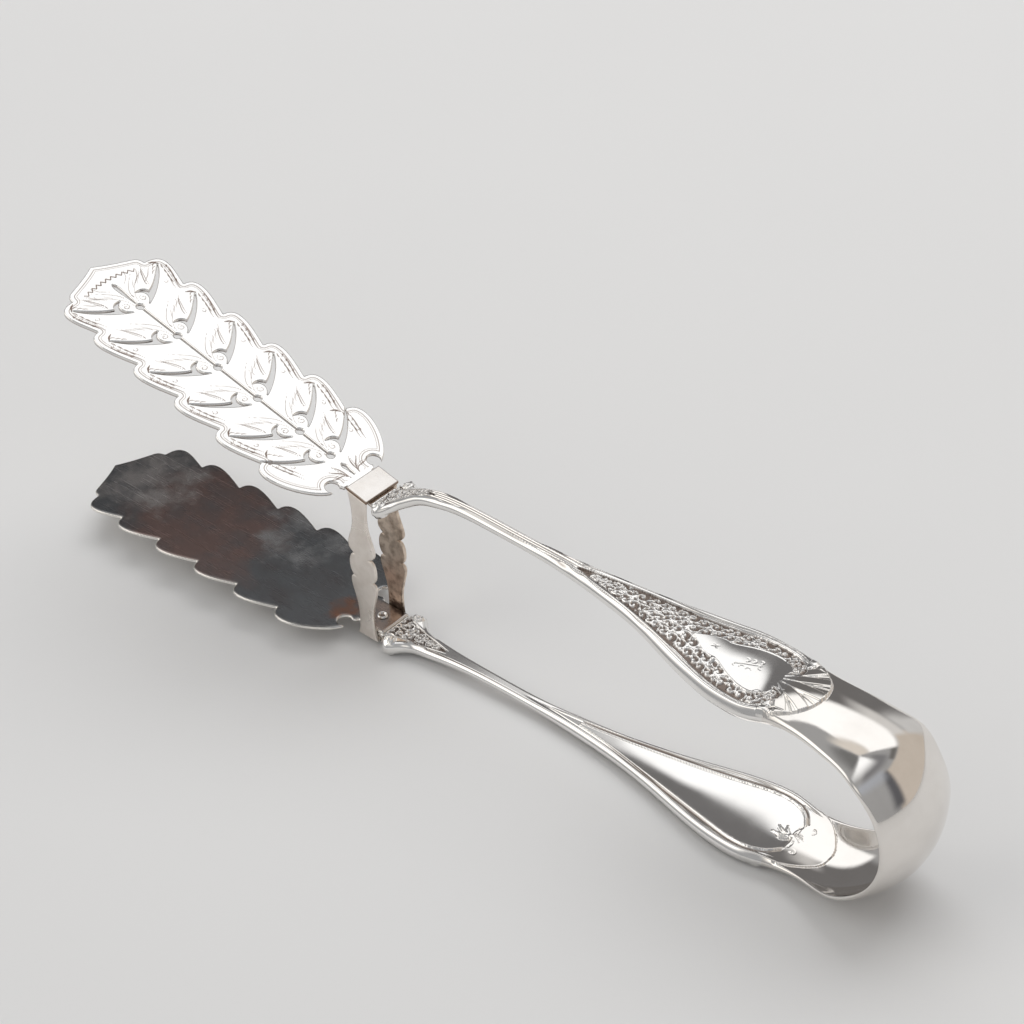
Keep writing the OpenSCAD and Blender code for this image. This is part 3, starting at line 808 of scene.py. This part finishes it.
class NodeTree:
    """Short ways to add and join the nodes of a material or a world."""

    def __init__(self, owner):
        owner.use_nodes = True
        self.nodes, self.links = owner.node_tree.nodes, owner.node_tree.links

    def add(self, kind, **values):
        made = self.nodes.new(kind)
        for key, value in values.items():
            if key in made.inputs:
                made.inputs[key].default_value = value
            else:
                setattr(made, key, value)
        return made

    def join(self, value, socket):
        """Links another node's output to the socket, or sets the socket to a plain value."""
        if isinstance(value, bpy.types.NodeSocket):
            self.links.new(value, socket)
        else:
            socket.default_value = value

    def math(self, operation, *values):
        made = self.add("ShaderNodeMath", operation=operation)
        for value, socket in zip(values, made.inputs):
            self.join(value, socket)
        return made.outputs[0]

    def remap(self, value, low, high, a=0.0, b=1.0, kind="LINEAR"):
        """Turns low to high into a to b."""
        made = self.add("ShaderNodeMapRange", interpolation_type=kind)
        for key, number in (("From Min", low), ("From Max", high), ("To Min", a), ("To Max", b)):
            made.inputs[key].default_value = number
        self.links.new(value, made.inputs["Value"])
        return made.outputs["Result"]

    def mix(self, first, second, share):
        """Blends a plain colour over another colour."""
        made = self.add("ShaderNodeMix", data_type="RGBA")
        self.join(first, made.inputs[6])
        made.inputs[7].default_value = (*second, 1)
        self.links.new(share, made.inputs[0])
        return made.outputs[2]

    def noise(self, where, scale, detail, roughness=0.55, stretch=None, turn=0.0):
        """Noise, which may be stretched along the three axes and turned about Z."""
        if stretch:
            mapping = self.add("ShaderNodeMapping", Scale=stretch, Rotation=(0, 0, turn))
            self.links.new(where, mapping.inputs["Vector"])
            where = mapping.outputs[0]
        made = self.add("ShaderNodeTexNoise", Scale=scale, Detail=detail, Roughness=roughness)
        self.links.new(where, made.inputs["Vector"])
        return made.outputs["Fac"]

    def attribute(self, name):
        return self.add("ShaderNodeAttribute", attribute_name=name).outputs["Fac"]


def lay_stains_and_shade(tree, where, colour, stains_and_shade):
    """Lays soft blotches over a colour, both real staining and painted shade; each blotch is [colour, scale,
    level, centre, reach], in metres.
    """
    for tint, scale, level, centre, reach in stains_and_shade:
        apart = tree.add("ShaderNodeVectorMath", operation="DISTANCE")
        apart.inputs[1].default_value = centre
        tree.links.new(where, apart.inputs[0])
        nearby = tree.remap(apart.outputs["Value"], reach * 0.5, reach, 0.16, -0.3)
        blotch = tree.math("ADD", tree.noise(where, scale, 5, 0.62), nearby)
        colour = tree.mix(colour, tint, tree.remap(blotch, level, level + 0.26, 0, 0.9))
    return colour


def silver(name, tint, tarnish_and_shade, rough, scratch, mottle=0.25, spots=0.0, stains_and_shade=(), edge_tint=None,
           hairlines=0.0, cloud_scale=70):
    """Polished silver with fine scratches, cloudy patina and darkened recesses; the darker colours given for
    the far cheek and the lower blade also hold painted shade.
    """
    mat = bpy.data.materials.new(name)
    tree = NodeTree(mat)
    shader = tree.nodes["Principled BSDF"]
    shader.inputs["Metallic"].default_value = 1.0
    where = tree.add("ShaderNodeTexCoord").outputs["Object"]
    grime = tree.attribute("recess")

    cloud = tree.remap(tree.noise(where, cloud_scale, 6), 0.42, 0.72, 0, mottle)
    speck = tree.remap(tree.noise(where, 900, 3), 0.62, 0.74, 0, spots)
    amount = tree.math("MAXIMUM", tree.math("MAXIMUM", cloud, speck), tree.math("MULTIPLY", grime, 0.88))
    # The darker colour mixed in here is tarnish, and on the far cheek and the lower blade also painted shade.
    colour = tree.mix((*tint, 1), tarnish_and_shade, tree.math("MINIMUM", amount, 1.0))
    # The blotches are real stains, and on the far cheek also a painted shade at its foot.
    colour = lay_stains_and_shade(tree, where, colour, stains_and_shade)
    if edge_tint:
        colour = tree.mix(colour, edge_tint, tree.attribute("edge"))
    tree.links.new(colour, shader.inputs["Base Color"])

    worn = tree.remap(tree.noise(where, 160, 5), 0.3, 0.75, rough * 0.7, rough * 1.5)
    roughness = tree.math("ADD", worn, tree.math("MULTIPLY", grime, 0.35))
    if hairlines:
        lines = 0.0
        for scale, stretch, turn in ((70, 70, 0.4), (85, 60, -0.25), (120, 50, 1.3)):
            line = tree.remap(tree.noise(where, scale, 0, 0.5, (1, stretch, 1), turn), 0.76, 0.8)
            lines = tree.math("MAXIMUM", lines, line)
        roughness = tree.math("ADD", roughness, tree.math("MULTIPLY", lines, hairlines))
    tree.links.new(roughness, shader.inputs["Roughness"])

    fine = tree.remap(tree.noise(where, 900, 2, 0.5, (1, 14, 1), 0.5), 0.45, 0.62)
    crossed = tree.remap(tree.noise(where, 800, 2, 0.5, (12, 1, 1), 0.25), 0.5, 0.66)
    wavy = tree.noise(where, 55, 3)
    marks = tree.math("ADD", tree.math("MAXIMUM", fine, crossed), tree.math("MULTIPLY", wavy, 0.4))
    bump = tree.add("ShaderNodeBump", Strength=scratch, Distance=0.00004)
    tree.links.new(marks, bump.inputs["Height"])
    tree.links.new(bump.outputs[0], shader.inputs["Normal"])
    return mat


LOWER_BLADE_STAINS = (((0.2, 0.135, 0.12), 70, 0.44, (-0.09, 0.0, 0.006), 0.034),
                      ((0.34, 0.32, 0.31), 160, 0.48, (-0.115, 0.002, 0.006), 0.024),
                      ((0.3, 0.3, 0.3), 150, 0.56, (-0.066, 0.012, 0.005), 0.022),
                      ((0.2, 0.1, 0.065), 300, 0.46, (-0.0385, -0.0035, 0.004), 0.0065),
                      ((0.28, 0.22, 0.19), 300, 0.42, (-0.029, 0.0, 0.004), 0.009))
# Painted shade: a near-black blotch at the foot of the far cheek, down inside the stirrup.
FAR_CHEEK_PAINTED_SHADE = (((0.05, 0.03, 0.02), 500, 0.42, (-0.0295, 0.005, 0.0025), 0.0065),)


bright = silver("engraved_silver", (0.93, 0.92, 0.905), (0.17, 0.085, 0.045), 0.14, 0.02, 0.03)
polished = silver("handle_silver", (0.89, 0.875, 0.855), (0.16, 0.11, 0.085), 0.09, 0.012, 0.08)
mirror = silver("bow_silver", (0.87, 0.84, 0.805), (0.42, 0.37, 0.32), 0.045, 0.02, 0.2)
# Lower blade: its very dark colours are partly tarnish and partly a painted reflection of the shaded
# underside of the upper blade; edge_tint makes its rounded rims and underside light.
worn_blade_reflected_shade = silver("worn_blade_painted_reflected_shade_silver", (0.13, 0.135, 0.14), (0.1, 0.09, 0.09), 0.1, 0.1, 0.7,
                   stains_and_shade=LOWER_BLADE_STAINS, edge_tint=(0.92, 0.89, 0.85), hairlines=0.2, cloud_scale=160)
satin = silver("cheek_silver", (0.9, 0.84, 0.78), (0.42, 0.33, 0.25), 0.3, 0.1, 0.25, spots=0.2,
               cloud_scale=200)
# Painted shade: a darker, browner and more clouded copy of the cheek silver, for the shaded inner face of the
# far cheek.
shaded = silver("far_cheek_painted_shade_silver", (0.8, 0.68, 0.57), (0.24, 0.16, 0.11), 0.34, 0.25, 0.8, spots=0.5,
                stains_and_shade=FAR_CHEEK_PAINTED_SHADE, cloud_scale=500)
lid = silver("bridge_silver", (0.8, 0.77, 0.74), (0.5, 0.42, 0.34), 0.22, 0.05, 0.2,
             edge_tint=(0.25, 0.17, 0.12), cloud_scale=250)


# ---- pieces ----

surface = body_surface(n_outer=150, n_inner=104, n_edge=7, fine=0.21, coarse=0.5)
rows, is_upper = surface[:2]


def row_at(x, upper):
    """Number of the row nearest to x on one arm."""
    gap = np.abs(rows[:, 0] - x) + 1000 * (is_upper != upper)
    return int(np.argmin(gap))


# Rows where one piece ends and the next starts
stops = [0, row_at(LOWER_TERMINAL_X, False), row_at(HANDLE_END_X, False), row_at(HANDLE_END_X, True),
         row_at(UPPER_TERMINAL_X, True), len(rows) - 1]
for number, name, body, caps, nodes in (
        (0, "terminal_lower", "lower_arm", [stops[0]], []),
        (1, "handle_lower", "lower_arm", [], ["lower_handle"]),
        (3, "handle_upper", "upper_arm", [], ["upper_handle"]),
        (4, "terminal_upper", "upper_arm", [stops[5]], ["upper_terminal"])):
    piece = body_piece(name, surface, stops[number], stops[number + 1], caps)
    finish_piece(piece, body, polished, nodes)
bow = body_piece("bow_strip", surface, stops[2], stops[3])
finish_piece(bow, None, mirror, ["lower_bow_half", "upper_bow_half"])
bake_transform(bow)

lower_leaf = leaf_outline(4.5, NECK_END["lower"], 16)
upper_leaf = leaf_outline(4.1, NECK_END["upper"], 16)
blade_low = plate("blade_lower", [lower_leaf], BLADE_T, 0.3, 0.42, on_blade(LOWER_ORIGIN, LOWER_TILT))
finish_piece(blade_low, "lower_arm", worn_blade_reflected_shade, ["lower_blade"])
blade_up = plate("blade_upper", [upper_leaf] + slots(), BLADE_T, 0.16, 0.3,
                 on_blade(UPPER_ORIGIN, UPPER_TILT), engraving, 0.8)
finish_piece(blade_up, "upper_arm", bright, ["upper_blade"])

STIRRUP_S = 22.1
STIRRUP_H = 39.9
HALF_GAP = 4.5
SHEET = 0.9
BRIDGE_L = 6.5
BRIDGE_TILT = UPPER_TILT - LOWER_TILT
TONGUE_T = 1.2
FOOT_Z = -BLADE_T / 2 - TONGUE_T - SHEET
tongue_outline = np.array([(-27.2, -4.4), (-18.9, -4.4), (-18.9, 4.4), (-27.2, 4.4)])
tongue = plate("neck_tongue", [tongue_outline], TONGUE_T, 0.3, 0.1,
               on_blade(LOWER_ORIGIN, LOWER_TILT, -(BLADE_T + TONGUE_T) / 2))
finish_piece(tongue, "lower_arm", polished, ["lower_terminal"])


def on_neck(along, y, up):
    """Places at a distance along the lower neck towards the bow, across it and above it."""
    return np.stack([LOWER_ORIGIN[0] + along * math.cos(LOWER_TILT) + up * math.sin(LOWER_TILT), y,
                     LOWER_ORIGIN[2] - along * math.sin(LOWER_TILT) + up * math.cos(LOWER_TILT)], 1)


def cheek_outline():
    """Waisted side of the stirrup, cut off under the bridge."""
    edge = np.concatenate([
        bezier((3.2, 40.2), (2.5, 38.0), (2.2, 35.5), (2.2, 33.0), 14),
        bezier((2.2, 33.0), (2.0, 27.0), (6.8, 23.6), (2.1, 21.5), 16)[1:],
        bezier((2.1, 21.5), (4.9, 22.3), (4.9, 14.2), (2.2, 15.0), 16)[1:],
        bezier((2.2, 15.0), (6.4, 15.0), (2.3, 9.5), (2.3, 4.0), 16)[1:],
        bezier((2.3, 4.0), (2.3, 1.0), (2.3, -1.2), (3.2, FOOT_Z), 8)[1:]])
    outline = np.concatenate([edge, (edge * (-1, 1))[::-1]])
    outline[:, 1] = np.minimum(outline[:, 1], STIRRUP_H - SHEET - outline[:, 0] * math.tan(BRIDGE_TILT))
    return outline


def on_cheek(side):
    def place(u, v, h):
        return on_neck(STIRRUP_S + u, side * (HALF_GAP + SHEET / 2 + h), v)
    return place


for side, node_name in ((-1, "stirrup_cheek_left"), (1, "stirrup_cheek_right")):
    cheek = plate("cheek_" + node_name.split("_")[-1], [cheek_outline()], SHEET, 0.14, 0.26, on_cheek(side))
    # The near cheek gets the cheek silver, the far cheek the copy with painted shade.
    finish_piece(cheek, "lower_arm", satin if side < 0 else shaded, [node_name])


def on_bridge(u, v, h):
    mid = h - SHEET / 2
    along = STIRRUP_S + u * math.cos(BRIDGE_TILT) + mid * math.sin(BRIDGE_TILT)
    up = STIRRUP_H - u * math.sin(BRIDGE_TILT) + mid * math.cos(BRIDGE_TILT)
    return on_neck(along, v, up)


half_l, half_w = BRIDGE_L / 2, HALF_GAP + SHEET
bridge_outline = np.array([(-half_l, -half_w), (half_l, -half_w), (half_l, half_w), (-half_l, half_w)])
bridge = plate("bridge", [bridge_outline], SHEET, 0.14, 0.22, on_bridge)
finish_piece(bridge, "lower_arm", lid, ["stirrup_bridge"])


RIVET_R = 0.8


def rivet():
    """Domed rivet head with a dimple, on its shank."""
    profile = [(0.0, 0.55), (0.45, 0.55), (0.62, 0.62), (0.78, 0.9), (0.95, 1.0), (1.15, 0.98), (1.32, 0.8),
               (1.4, 0.5), (RIVET_R, 0.5), (RIVET_R, FOOT_Z)]
    n = 40
    a = np.linspace(0, 2 * math.pi, n + 1)[:-1]
    flat = np.concatenate([
        np.stack([-STIRRUP_S + r * np.cos(a), r * np.sin(a), np.full(n, h)], 1) for r, h in profile])
    i = np.arange(n)
    k = (i + 1) % n
    faces = [np.stack([j + i, j + n + i, j + n + k, j + k], 1) for j in range(0, n * (len(profile) - 1), n)]
    placed = on_blade(LOWER_ORIGIN, LOWER_TILT)(flat[:, 0], flat[:, 1], flat[:, 2])
    reach = np.hypot(flat[:, 0] + STIRRUP_S, flat[:, 1])
    return make_mesh("rivet", placed, faces, 1 - ramp(reach, 0.45, 0.8))


finish_piece(rivet(), "lower_arm", polished, ["neck_rivet"])
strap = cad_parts["stirrup_foot_strap"]
strap.data.materials.clear()
strap.data.materials.append(satin)
soften = strap.modifiers.new("soften", "BEVEL")
soften.width = 0.15 * MM
soften.segments = 3


# ---- room, lights and camera ----

def floor_material():
    """Matt paper with a faint grain."""
    mat = bpy.data.materials.new("paper")
    tree = NodeTree(mat)
    shader = tree.nodes["Principled BSDF"]
    grain = tree.add("ShaderNodeTexNoise", Scale=60)
    shade = tree.remap(grain.outputs["Fac"], 0, 1, 0.735, 0.755)
    tree.links.new(shade, shader.inputs["Base Color"])
    shader.inputs["Roughness"].default_value = 0.9
    shader.inputs["Specular IOR Level"].default_value = 0.15
    return mat


def floor(half, z):
    """Square of paper under the tongs."""
    mesh = bpy.data.meshes.new("floor")
    corners = [(-half, -half, z), (half, -half, z), (half, half, z), (-half, half, z)]
    mesh.from_pydata(corners, [], [(0, 1, 2, 3)])
    mesh.materials.append(floor_material())
    obj = bpy.data.objects.new("floor", mesh)
    bpy.context.scene.collection.objects.link(obj)


floor(4, -0.0006)


# Patches of the room: [radiance, azimuth, half width, elevation, half height, softness], in degrees,
# azimuth from +X towards +Y. The first covers everything, and later ones cover earlier ones.
ROOM = (
    ((0.37, 0.372, 0.376), 0, 180, 0, 90, 5),
    ((0.58, 0.52, 0.46), 48, 40, 16, 25, 3),
    ((0.62, 0.62, 0.62), 94, 11, 3, 19, 4),
    ((0.17, 0.165, 0.165), 130, 26, 20, 26, 5),
    ((0.7, 0.69, 0.68), 97, 15, 36, 11, 5),
    ((0.17, 0.165, 0.16), 62, 26, 46, 4, 3),
    ((0.12, 0.12, 0.13), 8, 6, 22, 20, 4),
    ((0.42, 0.44, 0.48), 345, 22, 42, 9, 8),
    ((0.22, 0.22, 0.23), 10, 34, 64, 12, 8),
    ((1.2, 1.2, 1.2), 112, 52, 61, 19, 4),
    ((0.75, 0.70, 0.64), 130, 70, 85, 7, 4),
    ((1.2, 1.22, 1.24), 338, 42, 82, 12, 12),
    ((0.18, 0.18, 0.18), 245, 35, 83, 6, 4),
    ((1.5, 1.46, 1.4), 222, 32, 38, 20, 10),
    ((0.9, 0.88, 0.84), 290, 16, 30, 12, 8),
)


def studio_light():
    """The room that the silver mirrors, as a world made of soft-edged patches."""
    world = bpy.data.worlds.new("studio")
    tree = NodeTree(world)
    split = tree.add("ShaderNodeSeparateXYZ")
    tree.links.new(tree.add("ShaderNodeTexCoord").outputs["Generated"], split.inputs[0])
    x, y, z = split.outputs
    flat = tree.math("SQRT", tree.math("SUBTRACT", 1, tree.math("MULTIPLY", z, z)))
    flat = tree.math("MAXIMUM", flat, 0.0001)
    elevation = tree.math("DEGREES", tree.math("ARCSINE", z))
    colour = (*ROOM[0][0], 1)
    for radiance, azimuth, half_az, height, half_el, soft in ROOM:
        a = math.radians(azimuth)
        along = tree.math("ADD", tree.math("MULTIPLY", x, math.cos(a)), tree.math("MULTIPLY", y, math.sin(a)))
        cosine = tree.math("MAXIMUM", tree.math("MINIMUM", tree.math("DIVIDE", along, flat), 1), -1)
        around = tree.math("DEGREES", tree.math("ARCCOSINE", cosine))
        away = tree.math("ABSOLUTE", tree.math("SUBTRACT", elevation, height))
        share = tree.math("MULTIPLY", tree.remap(around, half_az - soft, half_az + soft, 1, 0, "SMOOTHSTEP"),
                          tree.remap(away, half_el - soft, half_el + soft, 1, 0, "SMOOTHSTEP"))
        colour = tree.mix(colour, radiance, share)
    tree.links.new(colour, tree.nodes["Background"].inputs["Color"])
    bpy.context.scene.world = world


studio_light()


def fill_lamp(name, place, aim, width, height, power):
    """Soft lamp that lights the paper; the silver mirrors the room's patches, so it leaves this lamp out."""
    data = bpy.data.lights.new(name, "AREA")
    data.shape = "RECTANGLE"
    data.size, data.size_y = width, height
    data.energy = power
    obj = bpy.data.objects.new(name, data)
    bpy.context.scene.collection.objects.link(obj)
    z = np.array(place, float) - np.array(aim, float)
    z /= np.linalg.norm(z)
    x = np.cross((0, 0, 1), z)
    x /= np.linalg.norm(x)
    y = np.cross(z, x)
    turn = Matrix([(x[i], y[i], z[i]) for i in range(3)]).to_4x4()
    turn.translation = place
    obj.matrix_world = turn
    obj.visible_glossy = False


fill_lamp("fill", (-0.3, 0.7, 1.3), (0, 0.05, 0), 1.6, 1.4, 9)


def photo_camera():
    """Camera at the photograph's angle: its right, up and backward directions and its place."""
    data = bpy.data.cameras.new("camera")
    data.lens = 87.9
    data.sensor_width = 36
    camera = bpy.data.objects.new("camera", data)
    bpy.context.scene.collection.objects.link(camera)
    right = (0.74829, 0.66097, -0.05638)
    up = (-0.35526, 0.47105, 0.8074)
    back = (0.56023, -0.58414, 0.5873)
    look = Matrix(list(zip(right, up, back))).to_4x4()
    look.translation = (0.3202, -0.3173, 0.3739)
    camera.matrix_world = look
    bpy.context.scene.camera = camera


photo_camera()
bpy.context.scene.view_settings.view_transform = "Standard"
